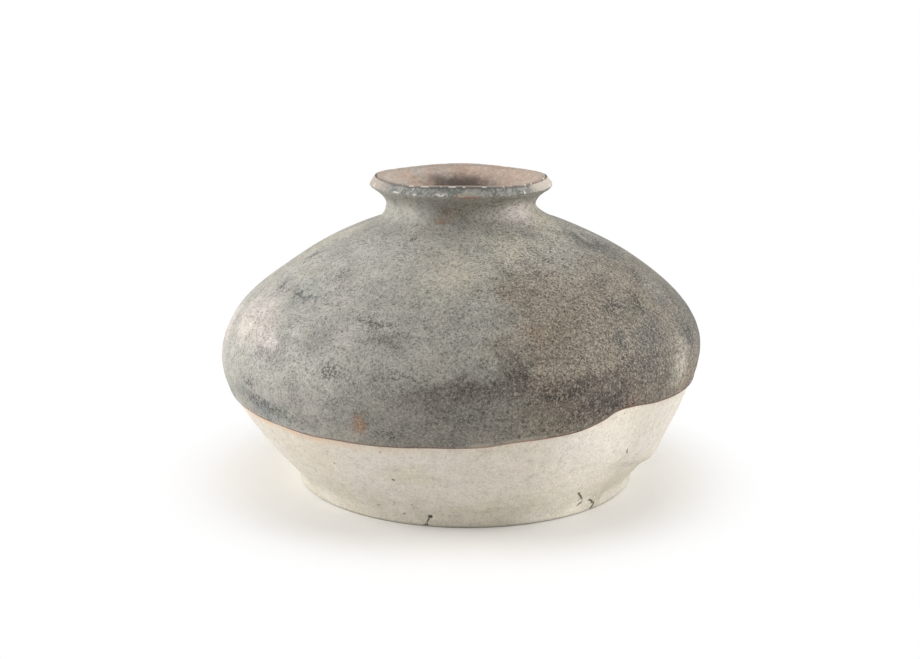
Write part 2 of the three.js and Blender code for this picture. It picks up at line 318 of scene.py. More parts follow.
def neck_outer(s, steps):
    under_edge = mouth_edge(s) - UNDERCUT
    below = sweep(neck_root(s), INTO_NECK, waist(s), UP, (0.6, 0.1), steps)
    above = sweep(waist(s), UP, under_edge, heading(29.2), (0.34, 0.3), steps)
    return below + above[1:]


def bevel_outer(s, steps):
    top = Vector((s.lip_radius, s.height - LIP_ROUNDING))
    return [mouth_edge(s).lerp(top, i / steps) for i in range(steps + 1)]


def lip_top(s):
    centre = Vector((s.lip_radius - LIP_ROUNDING, s.height - LIP_ROUNDING))
    rounding = [centre + heading(turn) * LIP_ROUNDING for turn in (30, 60, 90)]
    return rounding + [Vector((s.lip_radius - s.lip_width, s.height)) + INNER_WEAR]


def dish(s, steps):
    inner = Vector((s.lip_radius - s.lip_width, s.height - DISH_DROP))
    throat = waist(s) - Vector((s.neck_wall, 0))
    return sweep(inner, heading(228.5), throat, DOWN, (0.362, 0.349), steps)


def throat_end(s):
    return waist(s) - Vector((s.neck_wall, s.throat))


def neck_seam_inner(s):
    return neck_root(s) + heading(251) * s.shoulder_wall


def neck_inner(s, steps):
    seam = neck_seam_inner(s) + INTO_NECK * s.seam
    return sweep(throat_end(s), DOWN, seam, OUT_OF_NECK, (0.31, 0.41), steps)


def belly_seam_inner(s):
    return belly_edge(s) - Vector((s.body_wall, s.scarf))


def shoulder_inner(s, steps):
    low = belly_seam_inner(s) + UP * s.seam
    return sweep(neck_seam_inner(s), OUT_OF_NECK, low, DOWN, (0.257, 0.257), steps)


def lower_inner(s, steps):
    floor_edge = Vector((s.foot_radius - s.floor_rounding, s.floor))
    return sweep(belly_seam_inner(s), DOWN, floor_edge, heading(185.7), (0.246, 0.38), steps)


# How the kiln moved the clay, and where it left the glaze's edge
# Drop of the glaze's lower edge under the belly's height in millimetres, by degrees anticlockwise from +X
GLAZE_LINE = [
    (-180, 15.9), (-155, 15.3), (-144, 15.6), (-135, 15.7), (-127, 16.3), (-119, 16), (-113, 16.1),
    (-104, 15.8), (-97, 15.2), (-91, 15.1), (-84, 14.8), (-80, 13.9), (-76, 13.3), (-70, 12.8),
    (-63, 11.8), (-59.5, 10.6), (-56, 8.8), (-53, 6.6), (-48, 6.2), (-40, 7.4), (-28, 8.6), (-20, 9.2),
    (20, 10.9), (70, 11.6), (120, 14.1), (180, 15.9),
]
# Degrees from the front, half width in degrees and strength
LIP_CHIPS = [
    (-64, 2, 0.35), (-42, 1.5, 0.4), (-34, 3.5, 0.55), (-24.4, 4.8, 0.5), (-13, 1.5, 0.3),
    (-5.8, 4.3, 0.4), (1.8, 2, 0.45), (8, 1.5, 0.3), (15.5, 2.8, 0.5), (29, 1.6, 0.3), (47.5, 1.5, 0.55),
    (54.5, 1.2, 0.45), (75.7, 3, 0.5), (108, 6, 0.5), (147, 4, 0.7), (-168, 4, 0.5), (-122, 6, 0.6),
    (-97, 3, 0.4),
]
# Degrees from the front, height, half width and half height in millimetres, depth as a share of the pit depth
FOOT_PITS = [
    (-10.8, 4.2, 1.3, 1, 1), (-12.6, 0.6, 1.5, 0.9, 0.8), (-12.3, 2.6, 0.5, 1.2, 0.7),
    (-17.8, 21.5, 0.6, 0.5, 0.5), (-18, 4.7, 0.7, 0.6, 0.4), (14.2, 26.7, 0.6, 0.6, 0.5),
    (35.6, 10.2, 0.8, 1.4, 0.45), (38, 6.6, 0.8, 1.4, 0.45), (39.2, 4.2, 1, 0.9, 0.65),
    (43.4, 4.6, 1, 0.7, 0.5), (45.8, 2.9, 1, 0.9, 0.65), (45.6, 0.7, 1.3, 0.8, 0.9),
    (53.5, 33, 0.4, 0.7, 0.5), (-56.5, 4.5, 0.7, 0.6, 0.4), (28, 3, 0.5, 0.6, 0.5),
    (96, 18, 0.8, 0.7, 0.6), (131, 9, 1.1, 0.8, 0.8), (164, 26, 0.7, 0.6, 0.6),
    (-148, 3.4, 1.4, 1.2, 0.9), (-116, 29, 0.7, 0.6, 0.5), (-93, 11, 0.8, 0.9, 0.6),
    (178, 6, 1.2, 1, 0.7),
]


# The shoulder's dent: how far it fades up and down, in reaches, and round the left side
DENT_FADE = 1.2
DENT_ROUND = 0.5
# The drawn-in foot: how far it fades upwards, in metres, and round the left side
PINCH_FADE = 9 * MM
PINCH_ROUND = 0.6
# The uneven lip: waves round it and, as shares of their depth, its mean drop and the further drop of its back
LIP_WAVES = 4
LIP_DROP = 1.5
LIP_TILT = 0.5
# Throwing lines: pitch in millimetres, phase and share of the ripple depth
THROWING_LINES = ((14, 0, 0.6), (4.7, 1, 0.4))
# How they wander up and down: times round the jar, phase and millimetres
LINE_WANDER = ((1, 0.6, 0.8), (2, -1.1, 0.5))
# Metres of height in which their fading goes through a radian
LINE_FADE = 22 * MM
# The strength of the wear all round the lip, and the share of a chip's half width that is at full strength
LIP_WEAR = 0.1
CHIP_CORE = 0.2
# Degrees across the features of the noise round the rim, and its seed: for the chips and for the outer edge
CHIP_RAG = (3.5, 1.0)
EDGE_RAG = (5, 3.0)


def bell(x, spread):
    return np.exp(-((x / spread) ** 2))


def smoothstep(x, low, high):
    t = np.clip((x - low) / (high - low), 0, 1)
    return t * t * (3 - 2 * t)


def from_front(turn):
    """Degrees from the front of the jar, positive to the right, for an angle from +X."""
    return (np.degrees(turn) + 270) % 360 - 180


def glaze_line(s, turn):
    """Height of the glaze's lower edge in metres at each angle, through the points of GLAZE_LINE."""
    at, drop = (np.array(column, float) for column in zip(*GLAZE_LINE))
    slope = np.empty(len(at))
    slope[1:-1] = (drop[2:] - drop[:-2]) / (at[2:] - at[:-2])
    slope[0] = slope[-1] = (drop[1] - drop[-2]) / (at[1] - at[-2] + 360)
    degrees = (np.degrees(turn) + 180) % 360 - 180
    i = np.clip(np.searchsorted(at, degrees, side="right") - 1, 0, len(at) - 2)
    span = at[i + 1] - at[i]
    t = (degrees - at[i]) / span
    rise = t * t * (3 - 2 * t)
    bend = t * (1 - t) * ((1 - t) * slope[i] - t * slope[i + 1]) * span
    return s.belly_height - (drop[i] + rise * (drop[i + 1] - drop[i]) + bend) * MM


def kiln_warp(scene, r, z, turn):
    """The lean, ovality, slumped fold, shoulder dent, drawn-in foot and uneven lip, as new x, y and z."""
    s, w = scene.jar_shape, scene.jar_warp
    round_fold = np.arctan2(np.sin(turn - w.fold_angle), np.cos(turn - w.fold_angle))
    crease = np.maximum(w.crease_lowest, w.crease - w.crease_fall * round_fold)
    above = z - crease
    swell = bell(above, np.where(above > 0, w.swell_above, w.swell_below))
    ring = s.foot_radius - s.foot_chamfer - s.standing_ring
    in_wall = smoothstep(r, ring - s.standing_ring, ring)
    fold = w.fold_depth * bell(round_fold, w.fold_spread) * swell * in_wall
    oval = 1 + w.ovality * np.cos(2 * (turn - w.oval_angle))
    sag = w.sag * bell(z - w.sag_height, w.sag_spread)
    neck = w.neck_offset * smoothstep(z, neck_root(s).y, waist(s).y)
    lean = w.foot_offset - sag - neck
    uneven = np.cos(LIP_WAVES * turn) - LIP_DROP - LIP_TILT * np.sin(turn)
    wave = w.lip_wave * smoothstep(z, mouth_edge(s).y, s.height) * uneven
    up = (z - w.dent_height) / w.dent_reach
    dent = w.dent * np.sin(math.pi * up) * bell(up, DENT_FADE) * bell(1 + np.cos(turn), DENT_ROUND)
    pinch = w.foot_pinch * bell(z, PINCH_FADE) * bell(1 + np.cos(turn), PINCH_ROUND) * in_wall
    r = r * oval + fold - dent - pinch
    return np.stack((r * np.cos(turn) + lean, r * np.sin(turn), z + wave), -1)


def dents(relief, r, z, turn):
    """The broad unevenness and the throwing lines, in metres, between minus and plus their depths."""
    places = np.stack((r * np.cos(turn), r * np.sin(turn), z), -1) / relief.dent_size
    broad = np.array([noise.noise(p) for p in places]) * relief.dent
    travel = z / MM + sum(far * np.sin(times * turn + phase) for times, phase, far in LINE_WANDER)
    lines = sum(part * np.sin(travel * 2 * math.pi / pitch + phase) for pitch, phase, part in THROWING_LINES)
    fading = (1 + np.sin(turn * 2 + z / LINE_FADE)) / 2
    return broad + relief.ripple * lines * fading


def chipping(turn, wander):
    """How strongly the lip is chipped at each angle."""
    degrees = from_front(turn)
    chipped = LIP_WEAR * (1 + wander)
    for centre, half, strength in LIP_CHIPS:
        away = np.abs((degrees - centre + 180) % 360 - 180)
        here = strength * (1 + wander) * (1 - smoothstep(away, half * CHIP_CORE, half))
        chipped = np.maximum(chipped, here)
    return chipped


def ring_noise(turn, size, seed):
    """Noise round the rim for each angle, whose features are about size degrees wide."""
    reach = 180 / math.pi / size
    shown, back = np.unique(np.round(turn, 6), return_inverse=True)
    values = np.array([noise.noise((math.cos(t) * reach, math.sin(t) * reach, seed)) for t in shown])
    return values[back]


# Meshes
def new_object(name, mesh):
    old = bpy.data.objects.get(name)
    if old:
        bpy.data.objects.remove(old)
    piece = bpy.data.objects.new(name, mesh)
    bpy.context.collection.objects.link(piece)
    return piece


def turn_outline(name, outline, columns, closed):
    """A mesh of the outline spun about Z, its seams and poles merged."""
    bm = bmesh.new()
    verts = [bm.verts.new((p.x, 0, p.y)) for p in outline]
    for a, b in zip(verts, verts[1:] + verts[:1]):
        if closed or b is not verts[0]:
            bm.edges.new((a, b))
    wedge = 2 * math.pi / WEDGES
    axis = {"cent": (0, 0, 0), "axis": (0, 0, 1)}
    bmesh.ops.spin(bm, geom=bm.verts[:] + bm.edges[:], angle=wedge, steps=columns // WEDGES, **axis)
    first = bm.verts[:] + bm.edges[:] + bm.faces[:]
    bmesh.ops.spin(
        bm, geom=first, angle=2 * math.pi - wedge, steps=WEDGES - 1, use_duplicate=True, **axis
    )
    bmesh.ops.remove_doubles(bm, verts=bm.verts, dist=1e-6)
    bmesh.ops.recalc_face_normals(bm, faces=bm.faces)
    mesh = bpy.data.meshes.new(name)
    bm.to_mesh(mesh)
    bm.free()
    return mesh


def turned_points(mesh):
    """The radius, height and angle of each vertex."""
    co = np.empty(len(mesh.vertices) * 3)
    mesh.vertices.foreach_get("co", co)
    co = co.reshape(-1, 3)
    return np.hypot(co[:, 0], co[:, 1]), co[:, 2], np.arctan2(co[:, 1], co[:, 0])


def place_points(mesh, co):
    mesh.vertices.foreach_set("co", co.ravel())
    mesh.update()


def add_attribute(mesh, name, values):
    mesh.attributes.new(name, "FLOAT", "POINT").data.foreach_set("value", values)


def finish_piece(name, mesh, material, nodes):
    mesh.materials.append(material)
    mesh.shade_smooth()
    mesh.set_sharp_from_angle(angle=math.radians(SHARP_DEGREES))
    piece = new_object(name, mesh)
    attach(piece, BODY)
    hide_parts(*nodes)


# Shader nodes
# The mean of a noise's red, green and blue, and what brings their spread to about 1 each way
NOISE_MEAN = (0.5, 0.5, 0.5)
NOISE_SPREAD = 4.0


def maths(operation, flipped=False):
    """A method of Value that adds a Math node."""

    def method(self, *others):
        values = (self, *others)
        if flipped:
            values = values[::-1]
        return self.nodes.node("ShaderNodeMath", {"operation": operation}, dict(enumerate(values)))

    return method


class Value:
    """A shader socket that takes part in Python expressions."""

    def __init__(self, nodes, socket):
        self.nodes = nodes
        self.socket = socket

    __add__ = maths("ADD")
    __radd__ = maths("ADD", flipped=True)
    __sub__ = maths("SUBTRACT")
    __rsub__ = maths("SUBTRACT", flipped=True)
    __mul__ = maths("MULTIPLY")
    __rmul__ = maths("MULTIPLY", flipped=True)
    atleast = maths("MAXIMUM")
    atmost = maths("MINIMUM")
    turn_from = maths("ARCTAN2")

    def step(self, low, high):
        """0 at low, 1 at high, and smooth between. Low may be above high."""
        return self.nodes.node(
            "ShaderNodeMapRange",
            {"interpolation_type": "SMOOTHSTEP", "clamp": False},
            {"Value": self, "From Min": low, "From Max": high},
        )


class Nodes:
    """The nodes of a material or of the world, under construction."""

    def __init__(self, owner):
        owner.use_nodes = True
        self.tree = owner.node_tree
        self.tree.nodes.clear()

    def node(self, kind, settings=None, inputs=None, output=0):
        made = self.tree.nodes.new(kind)
        for key, value in (settings or {}).items():
            setattr(made, key, value)
        for key, value in (inputs or {}).items():
            if isinstance(value, Value):
                self.tree.links.new(value.socket, made.inputs[key])
            else:
                made.inputs[key].default_value = value
        return Value(self, made.outputs[output])

    def shown_white(self, lit, white):
        """The lit shader, or the white one for the rays that see the white background."""
        camera, glossy, through = (self.node("ShaderNodeLightPath", output=ray) for ray in SHOWN_RAYS)
        seen = camera.atleast(glossy).atleast(through)
        return self.node("ShaderNodeMixShader", {}, {0: seen, 1: lit, 2: white})

    def finish(self, shader, output="ShaderNodeOutputMaterial"):
        out = self.tree.nodes.new(output)
        self.tree.links.new(shader.socket, out.inputs["Surface"])


class Shader(Nodes):
    """A material under construction. Distances in it are in millimetres."""

    def __init__(self, name):
        self.material = bpy.data.materials.new(name)
        super().__init__(self.material)
        place = self.node("ShaderNodeTexCoord", output="Object")
        self.place = self.vector("SCALE", {0: place, "Scale": 1 / MM})
        self.x, self.y, self.z = self.split(self.place)
        turn = self.x.turn_from(self.y * -1.0)
        self.skin = self.node("ShaderNodeCombineXYZ", {}, {0: turn * SKIN_RADIUS, 1: self.z})

    def vector(self, operation, inputs, output=0):
        return self.node("ShaderNodeVectorMath", {"operation": operation}, inputs, output)

    def split(self, vector):
        parts = self.tree.nodes.new("ShaderNodeSeparateXYZ")
        self.tree.links.new(vector.socket, parts.inputs[0])
        return tuple(Value(self, socket) for socket in parts.outputs)

    def facing(self, across):
        """The way round from the front, turned back behind the right side so that it never jumps."""
        return across - (across + FAR_LEFT) * across.step(*TURN_BACK)

    def attribute(self, name):
        """A value that the mesh holds at its vertices."""
        return self.node("ShaderNodeAttribute", {"attribute_name": name}, output="Fac")

    def noise(self, size, detail=3.0, roughness=0.55, distortion=0.0, at=None, output="Fac"):
        """Cloudy noise whose features are about size millimetres across."""
        return self.node(
            "ShaderNodeTexNoise",
            {"noise_dimensions": "3D", "normalize": True},
            {"Vector": at or self.place, "Scale": 1 / size, "Detail": detail, "Roughness": roughness,
             "Distortion": distortion},
            output,
        )

    def patches(self, edge, size, **settings):
        """Noise made into a mask, which goes from 0 to 1 between the two values of its edge."""
        return self.noise(size, **settings).step(*edge)

    def cells(self, size):
        return self.node("ShaderNodeTexVoronoi", {}, {"Vector": self.place, "Scale": 1 / size}, "Distance")

    def stretched(self, factors):
        """The place, with each axis multiplied, so that a pattern is drawn out where the factor is small."""
        return self.vector("MULTIPLY", {0: self.place, 1: factors})

    def ragged(self, *layers):
        """The skin, moved about by layers of noise, so that masks get ragged edges."""
        skin = self.skin
        for size, amount in layers:
            centred = self.vector("SUBTRACT", {0: self.noise(size, detail=2, output="Color"), 1: NOISE_MEAN})
            far = self.vector("SCALE", {0: centred, "Scale": NOISE_SPREAD * amount})
            skin = self.vector("ADD", {0: skin, 1: far})
        return skin

    def cast(self, size, amounts):
        """Noise about 1 in red, green and blue, by which a colour is multiplied to vary its hue."""
        middle = tuple(1 - amount / 2 for amount in amounts)
        hues = self.noise(size, roughness=0.6, output="Color")
        return self.vector("MULTIPLY_ADD", {0: hues, 1: amounts, 2: middle})

    def clouds(self, places, at, softness=0.9):
        """A mask of ovals on the jar's side, 0 at their rims and rising smoothly inwards. A cloud is a cut
        through an egg, which lies further off where the cloud is weaker."""
        flat = self.vector("MULTIPLY", {0: at, 1: (1.0, 1.0, 0.0)})
        nearest = None
        for degrees, level, wide, tall, strength, *tilt in places:
            middle = math.radians(degrees) * SKIN_RADIUS
            level_flat = flat
            if tilt:
                level_flat = self.node(
                    "ShaderNodeVectorRotate",
                    {"rotation_type": "Z_AXIS"},
                    {"Vector": flat, "Center": (middle, level, 0.0), "Angle": math.radians(-tilt[0])},
                )
            offset = (-middle / wide, -level / tall, 1.0 - strength)
            shaped = self.vector("MULTIPLY_ADD", {0: level_flat, 1: (1 / wide, 1 / tall, 1.0), 2: offset})
            away = self.vector("LENGTH", {0: shaped}, "Value")
            nearest = nearest.atmost(away) if nearest else away
        return nearest.step(1.0, 1.0 - softness)

    def mix(self, factor, a, b):
        """A colour between two colours, which travel as vectors to keep large shaders within their limits."""
        return self.node("ShaderNodeMix", {"data_type": "VECTOR"}, {0: factor, 4: a, 5: b}, output=1)

    def shaded(self, tint, factor):
        """The colour multiplied by a value."""
        return self.vector("SCALE", {0: tint, "Scale": factor})

    def coat(self, tint, colour, mask, strength):
        """The tint with a colour laid over it where the mask is, in the given strength."""
        return self.mix(mask * strength, tint, colour)

    def bump(self, relief, height):
        """A bump whose relief of 1 stands height millimetres high."""
        return self.node("ShaderNodeBump", {}, {"Height": relief, "Distance": height * MM, "Strength": 1.0})

    def surface(self, tint, normal, roughness, shine=0.3):
        inputs = {"Base Color": tint, "Roughness": roughness, "Specular IOR Level": shine, "Normal": normal}
        self.finish(self.node("ShaderNodeBsdfPrincipled", {}, inputs))
        return self.material


# Materials
# How far the glaze's red, green and blue wander
CAST = (0.1, 0.05, 0.1)
# Stretches over which a mask goes from 0 to 1 in millimetres: heights up the jar
OLIVE_FOOT = (20, 5)
# Heights of the painted contact shade along the bottom of the foot
FOOT_CONTACT_SHADE = (1.1, 0.1)
LOW_BELLY = (62, 52)
CALM_BELLY = (58, 48)
UNDER_SHOULDER = (96, 82)
CALM_NECK = (97, 104)
BEVEL_BEGINS = (112.7, 113.3)
BEVEL_EDGE_UP = (112.6, 113.1)
BEVEL_EDGE_DOWN = (114.1, 113.7)
# The same round the skin, where the front is 0 and the right is positive
DOVE_LEFT = (5, -55)
BROWN_RIGHT = (7, 30)
SOOTY_RIGHT = (40, 110)
DARK_FRONT = (-75, 5)
CALM_FRONT = (42, 20)
ROUGH_RIGHT = (-10, 45)
THIN_FROM = (-3, 4)
THIN_TO = (36, 18)
FLUSH_LEFT = (10, -75)
# Where the clay's right side gets painted light, and where painted shade begins further round
PAINTED_LIGHT_FROM = (20, 44)
PAINTED_LIGHT_TO = (70, 52)
PAINTED_SHADE_FROM = (54, 70)
BLUE_BEVEL_FROM = (-90, -68)
BLUE_BEVEL_TO = (80, 60)
BROWN_BEVEL = (0, -100)
# The same down from the glaze's edge on the clay, up from it on the glaze, and down from the glaze's top
FLUSH_DEPTH = (4.5, 0.2)
THIN_DEPTH = (2.6, 1.5)
RUST_DEPTH = (1.2, 0.5)
LIP_SHADOW = (0.8, 0.25)
# Factors on x, y and z that draw a pattern out round the jar, or flatten it
ROUND_CLAY = (0.12, 0.12, 1.0)
ROUND_GLAZE = (0.08, 0.08, 1.0)
ROUND_MOUTH = (1.0, 1.0, 2.5)
# Layers of noise that make the rims of masks ragged, as size and amount in millimetres
BROAD_RAG = (13, 3.5)
MIDDLE_RAG = (3.2, 1.6)
SMUDGE_RAG = ((6, 2.0), (1.8, 1.0))
BEVEL_RAG = ((2.2, 0.7), (0.8, 0.3))
CRACK_RAG = (1.6, 0.35)
# The dark patch in the mouth, partly dark staining and partly painted shade deep in the throat at the back:
# its middle and its reach in millimetres, and the mask's edge in reaches
SHADE_AND_STAIN_MIDDLE = (-2.5, 23.5, 107.5)
SHADE_AND_STAIN_REACH = (18.0, 10.0, 5.4)
SHADE_AND_STAIN_EDGE = (1.25, 0.4)
# Millimetres across the mouth in which its right side begins
MOUTH_RIGHT = (-8, 8)
# Clouds: centre in degrees from the front and in millimetres up, reach in millimetres along and up the
# skin, strength, and tilt in degrees where there is one
GLAZE_CLOUDS = {
    # The cloud at -12 degrees and 105 millimetres up is partly brown glaze and partly painted shade under the
    # lip's overhang
    "brown": [
        (16, 84, 12, 7, 0.5), (66, 49, 18, 5, 0.9, 4), (30, 80, 18, 10, 0.4), (-12, 105, 30, 6, 0.5),
        (9, 70, 9, 8, 0.45), (22, 73, 18, 9, 0.4),
    ],
    "umber": [
        (13, 62, 14, 10, 0.75, 20), (31, 57, 22, 7, 0.75), (4, 57.5, 38, 7, 0.6, 5),
        (31, 49, 24, 7, 0.85, 14), (47, 61, 16, 8, 0.7, 10), (140, 55, 40, 12, 0.5),
    ],
    "soot": [
        (-20, 46, 26, 8, 0.3), (74, 92, 24, 4.4, 0.75, -4), (46, 77, 18, 7, 0.35), (70, 64, 14, 8, 0.6),
        (84, 64, 22, 32, 0.62), (150, 92, 28, 8, 0.5), (-46, 62, 16, 14, 0.34), (-44, 90, 15, 8, 0.24),
        (-32, 78, 16, 7, 0.24), (68, 77, 13, 7, 0.42), (47, 56, 14, 8, 0.34), (-36, 70, 16, 10, 0.36),
        (-19, 71, 12, 6, 0.5), (52, 69, 20, 8, 0.5), (41, 69, 5, 6, 0.6),
    ],
    "blue": [
        (-52, 42, 26, 6, 0.8, -6), (-52, 80, 28, 6, 0.45, -4), (-120, 50, 30, 8, 0.6, -6),
        (71, 79, 24, 8, 0.3),
    ],
    # The cloud at 68 degrees and 102 millimetres up is a painted sheen on the right of the neck; the others
    # are thin, creamy glaze
    "cream": [
        (-85, 90, 14, 22, 0.7), (-80, 96, 20, 5, 0.6), (-24, 100, 30, 6, 0.35), (-2, 90, 26, 9, 0.75),
        (26, 95.5, 32, 5, 0.85, 4), (60, 54, 14, 8, 0.62, 26), (62, 61, 7, 8, 0.5), (68, 102, 46, 9, 1),
        (15, 43, 9, 6, 0.3), (120, 80, 40, 20, 0.5),
    ],
    # The cloud at 46 degrees and 105 millimetres up is part of the painted sheen on the right of the neck;
    # the others are chalky pinkish glaze
    "pink": [
        (-66, 69, 26, 12, 1, -8), (-82, 60, 16, 12, 1), (-53, 64, 12, 6, 0.7, -10), (-39, 105, 14, 4, 0.35),
        (-140, 70, 40, 18, 0.5, 10), (46, 105, 44, 8, 0.6), (-76, 49, 16, 9, 0.5), (-84, 97, 12, 5, 0.5),
    ],
    "ochre": [
        (17, 74, 10, 8, 0.3), (-22.3, 43.5, 5, 6.5, 0.8), (-17, 104, 12, 3.4, 0.55), (-8, 107, 34, 6, 0.24),
    ],
    "rust": [(40, 48, 12, 4, 0.4, 10), (66, 46.5, 14, 3, 0.5, 6)],
}
SMUDGES = [
    (-68, 78.5, 8, 3, 0.9, -24), (-56, 79, 12, 2.2, 1, -4), (-49, 78.3, 9, 2.2, 1), (-45, 86, 5, 3, 0.6),
    (-75, 88, 8, 3, 0.7, -20), (-56, 95, 9, 3, 0.5, -10), (-22, 75.7, 18, 2.4, 0.8, -4),
    (-29.5, 60.5, 6, 3, 1, -12), (-55.5, 49.6, 6, 3, 0.9, -10), (-48, 43, 20, 4, 0.8, -10),
    (-16, 41.4, 9, 2.4, 0.8), (-14, 61, 12, 2, 0.7), (56, 78, 10, 3, 0.9, 20), (45, 78, 9, 3, 0.8, 10),
    (50, 84, 12, 4, 0.6), (70, 83, 10, 5, 0.8), (71, 64, 10, 7, 0.9), (40, 62, 10, 6, 0.6, 30),
    (21, 54, 14, 4, 0.7), (0, 48, 18, 4, 0.5), (115, 70, 12, 4, 0.8, -10), (160, 84, 16, 4, 0.8, 8),
    (-130, 84, 14, 4, 0.9, -8), (-28, 97, 3.4, 1.3, 1),
]
# Cracks and iron specks in the clay
CRACKS = [
    (-10.2, 2.7, 1.9, 0.4, 1, -119), (-10.4, 1, 1.7, 0.4, 1, -72), (38.4, 8.8, 5.6, 0.5, 1, -39),
    (40.4, 4.4, 2.2, 0.5, 1, 32), (46, 3.9, 3.8, 0.6, 1, -31), (47.3, 1.6, 1.9, 0.5, 1, 64),
    (46.1, 26.6, 1.4, 0.4, 1, -65), (140, 8, 5, 0.5, 1, -35), (-17.3, 21.3, 0.8, 0.7, 0.5),
    (-33.2, 24.7, 0.8, 0.8, 0.35), (-17.6, 4.3, 1.3, 0.9, 0.36), (-14.4, 9.4, 1, 0.8, 0.32),
    (-26, 7, 2, 0.8, 0.3), (-9.3, 4.3, 1, 0.8, 1),
]
CLAY_CLOUDS = {
    "olive": [(-14, 24, 18, 9, 0.45), (60, 12, 16, 6, 0.45), (-140, 14, 40, 10, 0.4)],
    "warm": [(-40, 26, 30, 10, 0.5), (120, 28, 50, 12, 0.5)],
}
BEVEL_WORN = [(4, 114, 13, 0.9, 1)]
BEVEL_RUSTY = [(3, 113, 15, 0.7, 1)]
BEVEL_CHIPS = [
    (-30, 113.2, 2.4, 0.6, 1), (-13, 113.4, 7, 0.55, 1), (42, 113.2, 1.4, 0.7, 1), (-71, 113.6, 1.8, 1, 1),
    (76, 113.4, 3, 0.6, 1), (-44, 113.1, 5, 0.35, 1), (-32, 115, 0.45, 1.7, 1), (120, 113.3, 8, 0.6, 1),
    (-140, 113.3, 6, 0.6, 1),
]


def bare_clay(look):
    """Cream stoneware, grainy, with iron specks, pits, cracks and a peach flush under the glaze, with painted
    light and shade on its right side and painted contact shade along the bottom of the foot.
    """
    m = Shader("bare_clay")
    tint = m.coat(look.cream, look.warm, m.patches((0.38, 0.66), size=34), strength=0.5)
    low = m.z.step(*OLIVE_FOOT) * m.patches((0.3, 0.62), size=13)
    tint = m.coat(tint, look.olive, low, strength=0.4)
    wiped = m.noise(size=2.6, roughness=0.6, at=m.stretched(ROUND_CLAY))
    tint = m.coat(tint, look.dirt, wiped.step(0.5, 0.75), strength=0.14)
    for name, places in CLAY_CLOUDS.items():
        tint = m.mix(m.clouds(places, m.ragged(BROAD_RAG)), tint, getattr(look, name))
    rubbed = m.patches((0.55, 0.8), size=7, detail=4, roughness=0.65)
    tint = m.coat(tint, look.dirt, rubbed, strength=0.2)
    grain = m.noise(size=0.8, detail=2, roughness=0.65)
    blotch = m.noise(size=3.5, detail=4, roughness=0.7)
    tint = m.shaded(tint, 0.52 + grain * 0.5 + blotch * 0.5)
    tint = m.coat(tint, look.pale, grain.step(0.58, 0.74), strength=0.5)
    tint = m.coat(tint, look.dirt, grain.step(0.4, 0.28), strength=0.4)
    tint = m.coat(tint, look.dirt, blotch.step(0.4, 0.25), strength=0.3)
    fleck = m.cells(size=3.1).step(0.12, 0.05) * m.patches((0.48, 0.6), size=8, detail=1)
    tint = m.coat(tint, look.iron, fleck, strength=0.6)
    across = m.facing(m.split(m.skin)[0])
    under = m.attribute("under_glaze").step(*FLUSH_DEPTH)
    flushed = under * (across.step(*FLUSH_LEFT) * 0.6 + 0.1) * m.patches((0.2, 0.6), size=6, detail=2)
    tint = m.mix(flushed, tint, look.flash)
    # Painted light on the right of the clay, giving way to painted shade further round
    painted_light = across.step(*PAINTED_LIGHT_FROM) * across.step(*PAINTED_LIGHT_TO) * 0.15
    tint = m.shaded(tint, 1.0 + painted_light - across.step(*PAINTED_SHADE_FROM) * 0.08)
    cracked = m.clouds(CRACKS, m.ragged(CRACK_RAG), softness=0.6)
    holes = m.attribute("pit").step(0.2, 0.75).atleast(cracked)
    tint = m.coat(tint, look.iron, holes, strength=0.88)
    # Painted contact shade along the bottom of the foot where it meets the floor, in the dirt colour
    tint = m.coat(tint, look.dirt, m.z.step(*FOOT_CONTACT_SHADE), strength=0.6)
    relief = grain * 0.5 + wiped * 0.35 - fleck - cracked * 2.0
    return m.surface(tint, m.bump(relief, height=0.22), roughness=0.92, shine=0.2)


def lip_clay(look):
    """Worn clay on the lip, like the mouth below it, with a brown line and pale chips at its outer edge."""
    m = Shader("lip_clay")
    tint = m.mix(m.patches((0.35, 0.65), size=5), look.lip, look.lip_pale)
    tint = m.shaded(tint, 0.5 + m.noise(size=1.0, roughness=0.7))
    inward = m.attribute("inward")
    line = inward.step(0.55, 0.15) * (0.25 + m.patches((0.35, 0.6), size=5, detail=2) * 0.5)
    tint = m.mix(line, tint, look.lip_line)
    chipped = (m.attribute("chip") + m.noise(size=0.9, detail=2) * 0.6 - 0.3) * inward.step(0.6, 0.2)
    tint = m.coat(tint, look.fresh, chipped.step(0.45, 0.7), strength=0.9)
    return m.surface(tint, m.bump(m.noise(size=0.7), height=0.15), roughness=0.9, shine=0.2)


